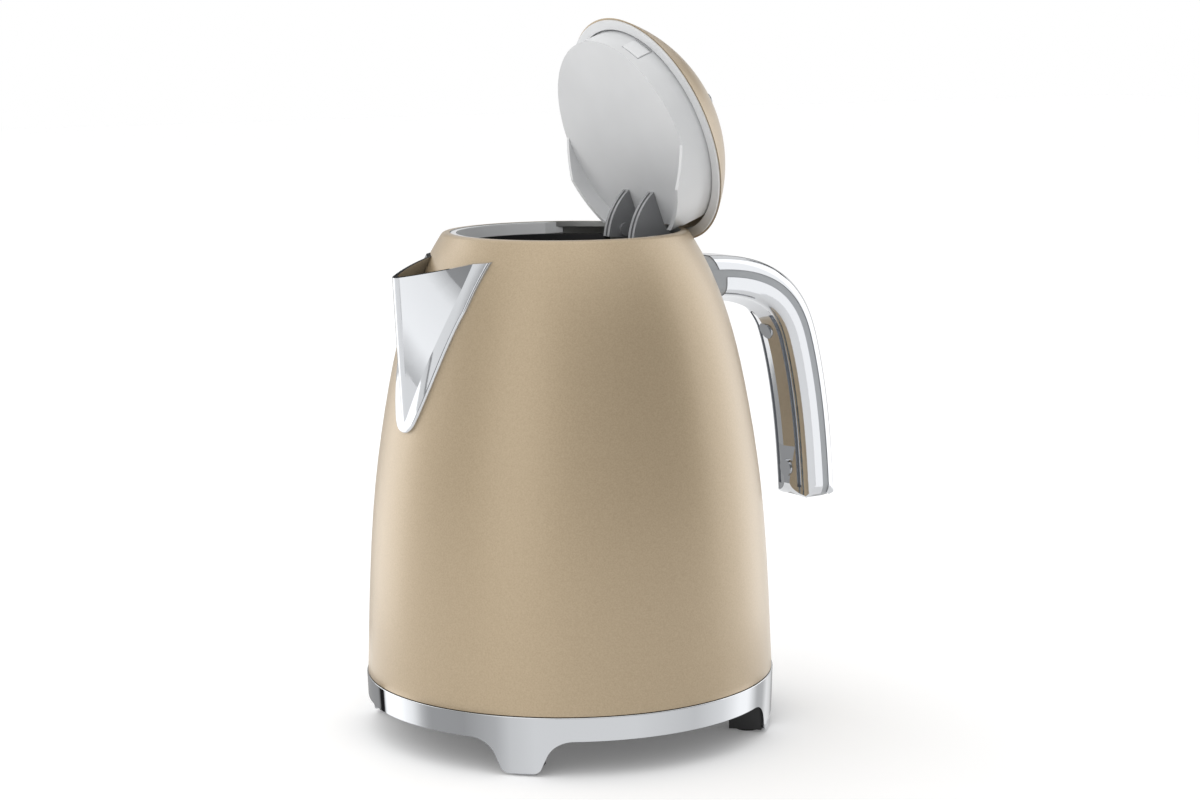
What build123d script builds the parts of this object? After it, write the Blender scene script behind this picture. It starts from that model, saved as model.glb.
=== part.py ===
from build123d import *
import os
from math import cos, radians, sin, sqrt, tan

# Domed electric kettle on a swivel power base, lid open.
# Millimetres. Origin on the body axis at table level, spout toward -X, handle toward +X, +Z up.

# Shared clearances, how far cutters run past what they cut, and how far joined lumps overlap
FIT = 0.05
SEAT = 0.3
RUN = 0.06
PAST = 5.0
LAP = 0.5

# Body side: radii at heights above the body's lower edge
BODY_Z = 24.5
BODY_H = 184.0
BODY_R = 85.5
HIP_R = 84.1
HIP_H = 34.5
BELLY_R = 80.6
BELLY_H = 80.5
CHEST_R = 75.3
CHEST_H = 115.0
SHOULDER_R = 67.05
SHOULDER_H = 149.5
NECK_R = 57.65
NECK_H = 172.5
RIM_R = 50.8
WALL = 1.2
LIP_W = 2.9
LIP_T = 2.3
RIM_ROUND = 2.0

# Base ring, tray, deck and feet
RING_PROUD = 0.5
RING_DRAFT = 0.8
RING_WALL = 1.6
SKIRT_Z = 14.5
PAD_SHOW = 1.0
PAD_R = 5.0
PAD_T = 2.5
FOOT_W = 14.5
FOOT_FLARE = 4.5
FOOT_ROUND = 3.0
ARCH_ROUND = 9.0
LEG_DEEP = 13.9
LEG_W = 12.5
TRAY_T = 2.0
TRAY_CLEAR = 0.2
TRAY_WALL = 2.2
DECK_Z = 20.0
DECK_T = 2.0
POST_R = 4.5
POST_AT = 60.0
SCREW_R = 1.6
SCREW_HEAD_R = 3.2
SCREW_HEAD_T = 1.4
DECK_SKIN = 0.5
GLAND_R = 5.2
GLAND_BORE_R = 3.6
GLAND_FLANGE_R = 6.6
GLAND_FLANGE_T = 2.0
BRIDGE_IN = 61.0
BRIDGE_OUT = 73.0
BRIDGE_W = 19.0
BRIDGE_WALL = 1.4
WIRE_R = 1.2
WIRE_GAP = 4.0
WIRE_BEND = 3.5
WIRE_SHY = 1.6
HATCH_FROM = 2.0
HATCH_LEN = 7.0
HATCH_CLEAR = 1.0

# Swivel connector and its socket
CONN_R = 16.2
CONN_TOP = 36.0
CONN_FLANGE_R = 20.0
CONN_FLANGE_T = 3.1
SPIGOT_R = 8.0
SLOT_FLOOR = 24.0
PIN_R = 2.0
INNER_RING_R = 6.9
OUTER_RING_R = 11.1
RING_TUBE_T = 0.8
SLOT_CLEAR = 0.4
CONTACT_T = 1.2
SOCKET_CLEAR = 0.8
SOCKET_WALL = 2.6
SOCKET_ROOF = 2.0

# Bottom of the kettle
COVER_GAP = 2.0
COVER_T = 2.0
COVER_FOOT_R = 72.0
COVER_FOOT_W = 4.0
PLATE_Z = 52.0
PLATE_T = 1.5
SEAL_W = 3.4
SEAL_LIP = 1.6
STUD_R = 3.5
STUD_AT = 60.0
STUD_PILOT = 12.0
STUD_SCREW_LEN = 10.0
ELEMENT_AT = 48.0
ELEMENT_R = 3.2
ELEMENT_FROM = 205.0
ELEMENT_SWEEP = 310.0
TERMINAL_LEN = 8.0
CONTROL_X = 44.0
CONTROL_Y = 30.0
CONTROL_T = 9.0
CONTROL_POST_R = 3.0
TUBE_R = 3.5
TUBE_BORE_R = 2.5
TUBE_X = 54.0
TUBE_Y = 22.0
TUBE_TOP = 160.0
TUBE_LOW = 10.0
TUBE_FLANGE = 2.0

# Spout: front edge of the beak before it is rounded, heights above the body's lower edge
BEAK_FOOT_X = -78.25
BEAK_FOOT_H = 108.0
BEAK_TIP_X = -82.3
BEAK_TIP_H = 168.8
BEAK_CORNER_X = -50.0
BEAK_CORNER_Y = 25.2
BEAK_CORNER_H = 175.7
BEAK_BACK_X = -43.0
BEAK_WALL = 1.5
BEAK_ROUND = 4.5

# At three heights: half angle between the beak's sides and how far each side bows out from its chord
BEAK_LOW_H = 104.0
BEAK_LOW_TURN = 56.0
BEAK_LOW_BOW = 0.4
BEAK_MID_H = 140.0
BEAK_MID_TURN = 45.7
BEAK_MID_BOW = 1.5
BEAK_HIGH_H = 178.0
BEAK_HIGH_TURN = 28.0
BEAK_HIGH_BOW = 3.5

# Flange round the beak, half outline seen from the front, (y, height above the body's lower edge)
FLANGE_T = 1.4
FLANGE_ROUND = 0.9
FLANGE_LINE = [(0.0, 106.3), (9.0, 113.3), (16.1, 131.5), (22.4, 153.7), (26.0, 178.0)]
POUR_LOW = 116.0
POUR_HIGH = 163.0
POUR_INSET = 3.0

# Limescale filter on a slope that follows the wall
FILTER_W = 36.0
FILTER_L = 44.0
FILTER_T = 2.4
FILTER_RIM = 3.5
FILTER_MID_X = -61.7
FILTER_MID_H = 141.5
FILTER_LEAN = 16.6
MESH_T = 0.8
MESH_PITCH = 3.2
MESH_HOLE = 1.9
RAIL_W = 3.0
RAIL_LIP = 1.5
RAIL_T = 1.4
SILL_H = 2.4

# Mouth collar and hinge
COLLAR_R = 45.3
COLLAR_LOW = 165.0
COLLAR_SILL = 169.0
COLLAR_DROP = 0.3
SNAP_R = 49.2
SNAP_T = 2.6
HINGE_X = 47.5
HINGE_H = 176.2
HINGE_GAP = 27.0
BACK_X = 30.0
REAR_X = 16.0
REAR_HALF = 42.5
REAR_TOP = 178.7
PIN_HINGE_R = 1.5
LUG_IN = 13.2
LUG_T = 4.0
LUG_X = 43.6
LUG_R = 50.7
LUG_OVER = 3.2
LID_OPEN = 69.4

# Lid, sizes measured with the lid shut, heights from the ring's underside
LID_GAP = 0.8
LID_RING_R = 49.3
LID_RING_T = 2.6
LID_RING_GAP = 0.8
LID_STEP_T = 0.9
LID_STEP_R = 47.6
DOME_R = 50.0
DOME_H = 25.0
DOME_LIFT = 1.0
DOME_WALL = 1.2
DRUM_R = 44.5
DRUM_WALL = 1.8
DRUM_DEPTH = 11.0
DRUM_FLANGE_R = 45.8
DRUM_FLANGE_T = 1.2
DRUM_BACK = 37.0
WING_DEPTH = 17.5
WING_RAMP = 17.0
WING_END = 36.0
ARM_AT = 9.5
ARM_T = 4.4
ARM_HUB_R = 4.0
ARM_TIP = 25.1
ARM_BELLY_X = 20.9
ARM_BELLY_Z = 10.2
ARM_HEEL_X = 10.6
ARM_HEEL_Z = 18.8
ARM_GROOVE_W = 1.3
ARM_GROOVE_D = 1.0
ARM_GROOVE_END = 3.0
ARM_BOSS_R = 2.8
ARM_BOSS_T = 1.4
ARM_BOSS_AT = 14.7
KNOB_R = 5.0
KNOB_NECK_R = 2.4
KNOB_NECK_H = 1.2
KNOB_SCREW_R = 1.4
KNOB_SCREW_HEAD_R = 3.0
CATCH_TURN = 30.0
CATCH_W = 10.0
CATCH_H = 7.0
CATCH_MID = -4.0
CATCH_PROUD = 0.5
CATCH_LEAD = 1.2
CATCH_FLANGE = 1.4
CATCH_FLANGE_T = 1.3
SPRING_R = 3.4
SPRING_WIRE = 0.55
SPRING_PITCH = 1.7
SPRING_TURNS = 6
SPRING_LEG = 12.0

# Level window and switch at the back
WINDOW_W = 10.0
WINDOW_LOW = 45.0
WINDOW_HIGH = 120.0
WINDOW_LAP = 4.0
WINDOW_SIGHT = 3.0
FRAME_T = 1.6
SWITCH_W = 18.0
SWITCH_LOW = 6.0
SWITCH_HIGH = 24.0
SWITCH_DEEP = 20.0
SWITCH_WALL = 2.0
BEZEL_LAP = 2.5
BEZEL_T = 1.2
LEVER_W = 11.0
LEVER_T = 3.4
LEVER_OUT = 8.0
LEVER_IN = 7.0
LEVER_PIN_IN = 7.5
LEVER_PIN_H = 15.0
LEVER_PIN_R = 1.25
LEVER_HUB_R = 3.2

# Handle: section sizes about the grey seam, and how it is fixed
GRIP_W = 26.0
GRIP_OUT = 7.3
GRIP_IN = 10.2
GRIP_KEEL = 2.3
GRIP_ROUND = 6.5
GRIP_BACK_ROUND = 5.5
GRIP_WALL = 2.2
SEAM_T = 3.3
SEAM_INSET = 0.4
MOUNT_GAP = 8.0
MOUNT_X = 73.0
GRIP_END = 58.5
GRIP_END_ROUND = 8.0
GRIP_END_OUT = 0.4
GRIP_END_IN = 0.2
GROOVE_AT = 7.2
GROOVE_W = 2.4
GROOVE_D = 1.6
GROOVE_FROM = 0.38
GROOVE_TO = 0.92
CAP_R = 3.8
CAP_T = 1.6
CAP_UPPER = 139.4
CAP_LOWER = 73.2
GRIP_SCREW_R = 1.6
GRIP_SCREW_LEN = 7.0
BRACKET_T = 1.8
BRACKET_W = 28.0
BRACKET_LOW = 152.0
BRACKET_HIGH = 173.0
BRACKET_SCREW_Y = 7.0
BRACKET_SCREW_H = 161.0
BRACKET_SCREW_R = 2.0
BRACKET_SCREW_LEN = 15.0
BRACKET_HEAD_R = 3.6
BRACKET_HEAD_T = 2.2
BRACKET_FLAT = 1.2

# Handle centre line along the seam, (x, height above the body's lower edge)
GRIP_LINE = [(50.0, 163.2), (70.0, 162.8), (88.0, 160.4), (104.0, 152.6), (112.3, 142.4),
             (117.4, 128.4), (121.2, 111.0), (124.0, 91.8), (127.0, 52.0)]

# Worked out from the sizes above
RING_TOP = BODY_Z - SEAT
RING_R = BODY_R + RING_PROUD
FOOT_R = RING_R - RING_DRAFT
TRAY_R = FOOT_R - RING_WALL - TRAY_CLEAR
LEG_IN = TRAY_R - LEG_DEEP
LEVER_PIN_X = BODY_R - LEVER_PIN_IN
DECK_TOP = DECK_Z + DECK_T
FLOOR_TOP = SKIRT_Z + TRAY_T
RIM_Z = BODY_Z + BODY_H
MOUTH_R = RIM_R - LIP_W
HINGE_Z = BODY_Z + HINGE_H
LID_Z = RIM_Z + LID_GAP
COLLAR_OUT = MOUTH_R - SEAT
FEET_TURNS = (45, 135, 225, 315)
STUD_TURNS = (30, 150, 270)
BIG = 400.0


def h(height):
    """Height above the table of a height above the body's lower edge."""
    return BODY_Z + height


def box(x0, x1, y0, y1, z0, z1):
    return Pos((x0 + x1) / 2, (y0 + y1) / 2, (z0 + z1) / 2) * Box(x1 - x0, y1 - y0, z1 - z0)


def rod(radius, z0, z1, x=0.0, y=0.0):
    return Pos(x, y, (z0 + z1) / 2) * Cylinder(radius, z1 - z0)


def rod_x(radius, x0, x1, y, z):
    return Pos((x0 + x1) / 2, y, z) * Rot(0, 90, 0) * Cylinder(radius, x1 - x0)


def rod_y(radius, y0, y1, x, z):
    return Pos(x, (y0 + y1) / 2, z) * Rot(90, 0, 0) * Cylinder(radius, y1 - y0)


def tube(outer, inner, z0, z1):
    return rod(outer, z0, z1) - rod(inner, z0 - PAST, z1 + PAST)


def turned(points):
    """Solid of revolution of a closed outline of (radius, z) points."""
    outline = Polyline(*[(r, 0, z) for r, z in points], close=True)
    return revolve(make_face(outline), Axis.Z)


def around(solid, turns):
    return [Rot(0, 0, turn) * solid for turn in turns]


# Body wall

BODY_SIDE = Spline(
    (BODY_R, 0, h(0)),
    (HIP_R, 0, h(HIP_H)),
    (BELLY_R, 0, h(BELLY_H)),
    (CHEST_R, 0, h(CHEST_H)),
    (SHOULDER_R, 0, h(SHOULDER_H)),
    (NECK_R, 0, h(NECK_H)),
    (RIM_R, 0, h(BODY_H)),
)


def filled(inset, below=0.0, above=0.0):
    """Solid inside the body's side curve, moved inward by inset and run on past its two ends."""
    points = []
    for step in range(13):
        at = BODY_SIDE @ (step / 12)
        along = BODY_SIDE % (step / 12)
        points.append((at.X - inset * along.Z, at.Z + inset * along.X))
    first = points[0]
    last = points[-1]
    side = BODY_SIDE if inset == 0 else Spline(*[(r, 0, z) for r, z in points])
    rest = Polyline((last[0], 0, last[1]), (last[0], 0, last[1] + above + FIT), (0, 0, last[1] + above + FIT),
                    (0, 0, first[1] - below - FIT), (first[0], 0, first[1] - below - FIT),
                    (first[0], 0, first[1]))
    return revolve(make_face([side, rest]), Axis.Z)


def layer(outer, inner):
    """Curved sheet that follows the body's side between two insets."""
    return filled(outer, LAP, LAP) - filled(inner, PAST, PAST)


def inside_radius(height, inset):
    """Radius inside the wall at a height above the body's lower edge."""
    low, high = 0.0, 1.0
    for _ in range(40):
        mid = (low + high) / 2
        if (BODY_SIDE @ mid).Z < h(height):
            low = mid
        else:
            high = mid
    return (BODY_SIDE @ low).X - inset


OUTSIDE = filled(0)
INSIDE = filled(WALL, PAST, PAST)
BOTTOM_R = inside_radius(0, WALL) - SEAT


# Power base

def base_ring():
    outline = [(FOOT_R, PAD_SHOW), (RING_R, RING_TOP), (RING_R - RING_WALL, RING_TOP),
               (FOOT_R - RING_WALL, PAD_SHOW)]
    ring = turned(outline)
    ring = fillet(ring.edges().filter_by(GeomType.CIRCLE).sort_by(Axis.Z)[-2:], RING_WALL / 4)
    reach = FOOT_R * sin(radians(45) - FOOT_W / 2 / FOOT_R)
    crown = reach - FOOT_FLARE
    arch = Polyline((-BIG, -PAST), (BIG, -PAST), (BIG, PAD_SHOW), (reach, PAD_SHOW), (crown, SKIRT_Z),
                    (-crown, SKIRT_Z), (-reach, PAD_SHOW), (-BIG, PAD_SHOW), close=True)
    arch = make_face(arch)
    feet = arch.vertices().filter_by_position(Axis.Y, PAD_SHOW, PAD_SHOW)
    arch = fillet(feet.filter_by_position(Axis.X, -RING_R, RING_R), FOOT_ROUND)
    arch = fillet(arch.vertices().group_by(Axis.Y)[-1], ARCH_ROUND)
    front = extrude(Plane.XZ * arch, BIG / 2, both=True)
    side = extrude(Plane.YZ * arch, BIG / 2, both=True)
    return ring - front - side


def base_tray():
    tray = rod(TRAY_R, SKIRT_Z, FLOOR_TOP) + tube(TRAY_R, TRAY_R - TRAY_WALL, SKIRT_Z, DECK_Z)
    leg = box(LEG_IN, BODY_R, -LEG_W / 2, LEG_W / 2, PAD_SHOW, SKIRT_Z) & rod(TRAY_R, 0, FLOOR_TOP)
    tray += around(leg, FEET_TURNS)
    post = rod(POST_R, SKIRT_Z, DECK_Z, POST_AT)
    tray += around(post, FEET_TURNS)
    bridge_low = gland_z() - GLAND_R - BRIDGE_WALL
    tray += box(BRIDGE_IN, BRIDGE_OUT, -BRIDGE_W / 2, BRIDGE_W / 2, bridge_low, SKIRT_Z)
    pocket = rod(PAD_R + FIT, 0, PAD_T, pad_at())
    screw_way = rod(SCREW_R + FIT, 0, DECK_Z + PAST, POST_AT)
    screw_way += rod(SCREW_HEAD_R + FIT, 0, SKIRT_Z + SCREW_HEAD_T, POST_AT)
    tray -= around(pocket, FEET_TURNS)
    tray -= around(screw_way, FEET_TURNS)
    tray -= rod(SPIGOT_R + RUN, 0, FLOOR_TOP + PAST)
    tray -= rod_x(GLAND_R + FIT, BRIDGE_IN - PAST, BRIDGE_OUT + PAST, 0, gland_z())
    return tray - box(*wire_hatch())


def pad_at():
    return (LEG_IN + TRAY_R) / 2


def gland_z():
    return SKIRT_Z - GLAND_FLANGE_R - SEAT


def wire_hatch():
    """Opening in the tray floor where the wires come up from the gland."""
    half = WIRE_GAP + WIRE_R + HATCH_CLEAR
    end = BRIDGE_IN - HATCH_FROM
    return (end - HATCH_LEN, end, -half, half, 0, FLOOR_TOP + PAST)


def base_deck():
    deck = rod(TRAY_R, DECK_Z, DECK_TOP) - rod(CONN_R + SLOT_CLEAR, 0, DECK_TOP + PAST)
    pilot = rod(SCREW_R + FIT, 0, DECK_TOP - DECK_SKIN, POST_AT)
    return deck - around(pilot, FEET_TURNS)


def foot_pads():
    return Compound(children=around(rod(PAD_R, 0, PAD_T, pad_at()), FEET_TURNS))


def base_screws():
    screw = rod(SCREW_R, SKIRT_Z, DECK_TOP - DECK_SKIN - FIT, POST_AT)
    screw += rod(SCREW_HEAD_R, SKIRT_Z, SKIRT_Z + SCREW_HEAD_T, POST_AT)
    return Compound(children=around(screw, FEET_TURNS))


def cord_gland():
    gland = rod_x(GLAND_R, BRIDGE_IN, BRIDGE_OUT, 0, gland_z())
    gland += rod_x(GLAND_FLANGE_R, BRIDGE_OUT, BRIDGE_OUT + GLAND_FLANGE_T, 0, gland_z())
    return gland - rod_x(GLAND_BORE_R, BRIDGE_IN - PAST, BRIDGE_OUT + GLAND_FLANGE_T + PAST, 0, gland_z())


def base_wires():
    wires = []
    rise = (wire_hatch()[0] + wire_hatch()[1]) / 2
    for side in (-1, 0, 1):
        y = side * WIRE_GAP
        lie = FLOOR_TOP + WIRE_R + FIT
        start = (BRIDGE_IN - WIRE_SHY, side * WIRE_R, gland_z())
        path = FilletPolyline(start, (rise, y, gland_z()), (rise, y, lie), (CONN_FLANGE_R + WIRE_GAP, y, lie),
                              radius=WIRE_BEND)
        wires.append(sweep(Plane(path @ 0, z_dir=path % 0) * Circle(WIRE_R), path=path))
    return Compound(children=wires)


def base_connector():
    post = rod(CONN_FLANGE_R, FLOOR_TOP, FLOOR_TOP + CONN_FLANGE_T) + rod(CONN_R, FLOOR_TOP, CONN_TOP)
    post += rod(SPIGOT_R, SKIRT_Z + SEAT, FLOOR_TOP + LAP)
    post -= rod(PIN_R + SLOT_CLEAR, SLOT_FLOOR, CONN_TOP + PAST)
    for radius in (INNER_RING_R, OUTER_RING_R):
        reach = RING_TUBE_T / 2 + SLOT_CLEAR
        post -= tube(radius + reach, radius - reach, SLOT_FLOOR, CONN_TOP + PAST)
    return post


def connector_contacts():
    top = SLOT_FLOOR + CONTACT_T
    contacts = [rod(PIN_R + SLOT_CLEAR - FIT, SLOT_FLOOR, top)]
    for radius in (INNER_RING_R, OUTER_RING_R):
        reach = RING_TUBE_T / 2 + SLOT_CLEAR - FIT
        contacts.append(tube(radius + reach, radius - reach, SLOT_FLOOR, top))
    return Compound(children=contacts)


# Kettle body and spout

def beak_top():
    """Sloping plane of the beak's open top, through its tip and the two upper corners."""
    tip = Vector(BEAK_TIP_X, 0, h(BEAK_TIP_H))
    near = Vector(BEAK_CORNER_X, -BEAK_CORNER_Y, h(BEAK_CORNER_H))
    far = Vector(BEAK_CORNER_X, BEAK_CORNER_Y, h(BEAK_CORNER_H))
    return Plane(origin=tip, z_dir=(far - near).cross(tip - near))


def beak_section(height, turn, bow, grow, edge_round):
    """Level cut of the beak: two bowed sides at the half angle turn that meet in a rounded front edge."""
    along = (height - BEAK_FOOT_H) / (BEAK_TIP_H - BEAK_FOOT_H)
    front = BEAK_FOOT_X + along * (BEAK_TIP_X - BEAK_FOOT_X) - grow / sin(radians(turn))
    half = (BEAK_BACK_X - front) * tan(radians(turn))
    mid_x = (front + BEAK_BACK_X) / 2 - bow * sin(radians(turn))
    mid_y = half / 2 + bow * cos(radians(turn))
    near = ThreePointArc((BEAK_BACK_X, -half), (mid_x, -mid_y), (front, 0))
    far = ThreePointArc((front, 0), (mid_x, mid_y), (BEAK_BACK_X, half))
    cut = make_face([near, far, Line((BEAK_BACK_X, half), (BEAK_BACK_X, -half))])
    cut = fillet(cut.vertices().sort_by(Axis.X)[0], edge_round)
    return Pos(0, 0, h(height)) * cut


def wedge(grow, edge_round):
    """Solid between the beak's two curved sides, moved out by grow."""
    low = beak_section(BEAK_LOW_H, BEAK_LOW_TURN, BEAK_LOW_BOW, grow, edge_round)
    middle = beak_section(BEAK_MID_H, BEAK_MID_TURN, BEAK_MID_BOW, grow, edge_round)
    high = beak_section(BEAK_HIGH_H, BEAK_HIGH_TURN, BEAK_HIGH_BOW, grow, edge_round)
    return loft([low, middle, high])


def flange():
    """Shield that hugs the front of the body round the beak, its outer edge rounded."""
    side = Spline(*[(y, h(z)) for y, z in FLANGE_LINE], tangents=[(1, 0), (1, 8)])
    (top_y, top_z), (_, low_z) = FLANGE_LINE[-1], FLANGE_LINE[0]
    half = make_face([side, Polyline((top_y, h(top_z)), (0, h(top_z)), (0, h(low_z)))])
    shield = extrude(Plane.YZ * half, -BIG / 2) & layer(-FLANGE_T, -FIT)
    rim = shield.edges().sort_by(SortBy.LENGTH)[-2:].sort_by(Axis.X)[0]
    rounded = fillet(rim, FLANGE_ROUND)
    return rounded + mirror(rounded, about=Plane.XZ)


def spout():
    room = wedge(-BEAK_WALL, BEAK_ROUND - BEAK_WALL)
    beak = wedge(0, BEAK_ROUND) - room - filled(-FIT, BODY_Z, BIG / 4)
    foot = Plane.XY.offset(h(FLANGE_LINE[0][1]) + FLANGE_ROUND)
    beak = split(beak, bisect_by=foot, keep=Keep.TOP)
    return split(beak + (flange() - room), bisect_by=beak_top(), keep=Keep.BOTTOM)


def pour_hole():
    hole = wedge(-BEAK_WALL - POUR_INSET, BEAK_ROUND)
    return hole & box(-BIG / 2, BEAK_BACK_X, -BIG / 4, BIG / 4, h(POUR_LOW), h(POUR_HIGH))


def back_box(width, low, high, grow=0.0):
    """Block through the back of the body, used for the openings there."""
    half = width / 2 + grow
    return box(BACK_X, BIG / 2, -half, half, h(low - grow), h(high + grow))


def body_shell():
    shell = OUTSIDE - INSIDE
    lip = OUTSIDE & rod(BODY_R, RIM_Z - LIP_T, RIM_Z)
    shell += lip - rod(MOUTH_R, 0, RIM_Z + PAST)
    shell = split(shell, bisect_by=Plane.XY.offset(RIM_Z), keep=Keep.BOTTOM)
    shell = split(shell, bisect_by=Plane.XY.offset(BODY_Z), keep=Keep.TOP)
    top_edges = shell.edges().filter_by(GeomType.CIRCLE).group_by(Axis.Z)[-1]
    shell = fillet(top_edges.sort_by(lambda edge: edge.radius)[-1], RIM_ROUND)
    shell -= pour_hole()
    shell -= back_box(WINDOW_W, WINDOW_LOW, WINDOW_HIGH)
    shell -= back_box(SWITCH_W, SWITCH_LOW, SWITCH_HIGH)
    for y in (-BRACKET_SCREW_Y, BRACKET_SCREW_Y):
        shell -= rod_x(BRACKET_SCREW_R + FIT, BACK_X, BIG / 2, y, h(BRACKET_SCREW_H))
    return shell


# Limescale filter

def filter_plane():
    """Plane of the filter: x across, y up the slope, z into the kettle."""
    lean = radians(FILTER_LEAN)
    middle = (FILTER_MID_X, 0, h(FILTER_MID_H))
    return Plane(origin=middle, x_dir=(0, 1, 0), z_dir=(cos(lean), 0, -sin(lean)))


def filter_frame():
    frame = Box(FILTER_W, FILTER_L, FILTER_T)
    frame -= Box(FILTER_W - 2 * FILTER_RIM, FILTER_L - 2 * FILTER_RIM, FILTER_T + PAST)
    frame -= Box(FILTER_W - FILTER_RIM, FILTER_L - FILTER_RIM, MESH_T)
    return filter_plane() * frame


def filter_mesh():
    mesh = Box(FILTER_W - FILTER_RIM - 2 * FIT, FILTER_L - FILTER_RIM - 2 * FIT, MESH_T - 2 * FIT)
    across = int((FILTER_W - 2 * FILTER_RIM) / MESH_PITCH) - 1
    along = int((FILTER_L - 2 * FILTER_RIM) / MESH_PITCH) - 1
    holes = GridLocations(MESH_PITCH, MESH_PITCH, across, along) * Rectangle(MESH_HOLE, MESH_HOLE)
    mesh -= extrude(Sketch() + holes, MESH_T, both=True)
    return filter_plane() * mesh


def filter_guides():
    """Two rails and a sill on the wall that carry the filter."""
    reach = FILTER_W / 2 + SEAT
    deep = FILTER_T / 2 + SEAT
    low = -FILTER_L / 2 - SEAT
    high = FILTER_L / 2
    back = -BIG / 4
    outer = box(-reach - RAIL_W, reach + RAIL_W, low - SILL_H, high, back, deep + RAIL_T)
    room = box(-reach, reach, low, BIG, -deep, deep)
    sight = box(RAIL_LIP - reach, reach - RAIL_LIP, low, BIG, 2 * back, BIG)
    guides = filter_plane() * (outer - room - sight)
    return guides & filled(WALL + FIT)


# Mouth collar, hinge pin and lid spring

def mouth_collar():
    top = RIM_Z - COLLAR_DROP
    collar = tube(COLLAR_OUT, COLLAR_R, h(COLLAR_LOW), top)
    snap_top = RIM_Z - LIP_T - FIT
    collar += tube(SNAP_R, COLLAR_R, snap_top - SNAP_T, snap_top)
    collar -= box(BACK_X, BIG, -HINGE_GAP, HINGE_GAP, h(COLLAR_SILL), RIM_Z)
    collar -= box(REAR_X, BIG, -REAR_HALF, REAR_HALF, h(REAR_TOP), RIM_Z)
    for side in (-1, 1):
        inner = side * LUG_IN
        outer = side * (LUG_IN + LUG_T)
        lug = box(LUG_X, BODY_R, min(inner, outer), max(inner, outer), h(COLLAR_LOW), HINGE_Z + LUG_OVER)
        collar += lug & rod(LUG_R, 0, RIM_Z)
    collar -= rod_y(PIN_HINGE_R + FIT, -BIG / 4, BIG / 4, HINGE_X, HINGE_Z)
    return collar & filled(WALL + SEAT, 0, PAST)


def hinge_pin():
    half = LUG_IN + LUG_T
    return rod_y(PIN_HINGE_R, -half, half, HINGE_X, HINGE_Z)


def lid_spring():
    """Torsion spring round the hinge pin, one leg down to the collar and one up to the liner."""
    length = SPRING_PITCH * SPRING_TURNS
    coil = Helix(pitch=SPRING_PITCH, height=length, radius=SPRING_R)
    coil = Plane(origin=(HINGE_X, length / 2, HINGE_Z), x_dir=(-1, 0, 0), z_dir=(0, -1, 0)) * coil
    lead = Line(coil @ 0 - (coil % 0) * (SPRING_LEG / 2), coil @ 0)
    tail = Line(coil @ 1, coil @ 1 + (coil % 1) * SPRING_LEG)
    path = Wire([lead, coil, tail])
    spring = sweep(Plane(path @ 0, z_dir=path % 0) * Circle(SPRING_WIRE), path=path)
    turn = [coil @ (step / (40 * SPRING_TURNS)) for step in range(40 * SPRING_TURNS + 1)]
    gap = min((a - b).length for i, a in enumerate(turn) for b in turn[i + 20:]) - 2 * SPRING_WIRE
    print(f"lid_spring least gap {gap:.2f} mm")
    return spring


# Heating plate and what hangs below it

def plate_radius():
    return inside_radius(PLATE_Z - BODY_Z, WALL) - SEAL_W + SEAL_LIP


def heating_plate():
    plate = rod(plate_radius(), PLATE_Z, PLATE_Z + PLATE_T)
    stud = rod(STUD_R, cover_top(), PLATE_Z + LAP, STUD_AT)
    stud -= rod(SCREW_R + FIT, 0, cover_top() + STUD_PILOT, STUD_AT)
    plate += around(stud, STUD_TURNS)
    return plate - rod(TUBE_R + FIT, 0, BIG, TUBE_X, TUBE_Y)


def plate_seal():
    low = PLATE_Z - SEAL_LIP
    high = PLATE_Z + PLATE_T + SEAL_LIP
    outer = min(inside_radius(low - BODY_Z, WALL), inside_radius(high - BODY_Z, WALL)) - FIT
    seal = tube(outer, plate_radius() - SEAL_LIP, low, high)
    return seal - rod(plate_radius() + FIT, PLATE_Z - FIT, PLATE_Z + PLATE_T + FIT)


def heating_element():
    z = PLATE_Z - ELEMENT_R - FIT
    turn = CenterArc((0, 0, z), ELEMENT_AT, ELEMENT_FROM, ELEMENT_SWEEP)
    element = sweep(Plane(turn @ 0, z_dir=turn % 0) * Circle(ELEMENT_R), path=turn)
    for end in (turn @ 0, turn @ 1):
        element += rod(ELEMENT_R, z - TERMINAL_LEN, z, end.X, end.Y)
        element += Pos(end) * Sphere(ELEMENT_R)
    return element


def socket_top():
    return CONN_TOP + SEAT + SOCKET_ROOF


def cover_low():
    return DECK_TOP + COVER_GAP


def cover_top():
    return cover_low() + COVER_T


def control_block():
    low = socket_top()
    block = box(-CONTROL_X / 2, CONTROL_X / 2, -CONTROL_Y / 2, CONTROL_Y / 2, low, low + CONTROL_T)
    for x in (-1, 1):
        for y in (-1, 1):
            block += rod(CONTROL_POST_R, low, PLATE_Z, x * (CONTROL_X / 2 - CONTROL_POST_R),
                         y * (CONTROL_Y / 2 - CONTROL_POST_R))
    return block


def socket_radius():
    return CONN_R + SOCKET_CLEAR + SOCKET_WALL


def connector_socket():
    socket = rod(socket_radius(), DECK_TOP + SEAT, socket_top())
    socket -= rod(CONN_R + SOCKET_CLEAR, 0, CONN_TOP + SEAT)
    return socket - rod(PIN_R + FIT, 0, BIG)


def socket_contacts():
    low = SLOT_FLOOR + CONTACT_T + SEAT
    roof = CONN_TOP + SEAT
    contacts = [rod(PIN_R, low, socket_top())]
    for radius in (INNER_RING_R, OUTER_RING_R):
        contacts.append(tube(radius + RING_TUBE_T / 2, radius - RING_TUBE_T / 2, low, roof))
    return Compound(children=contacts)


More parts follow.
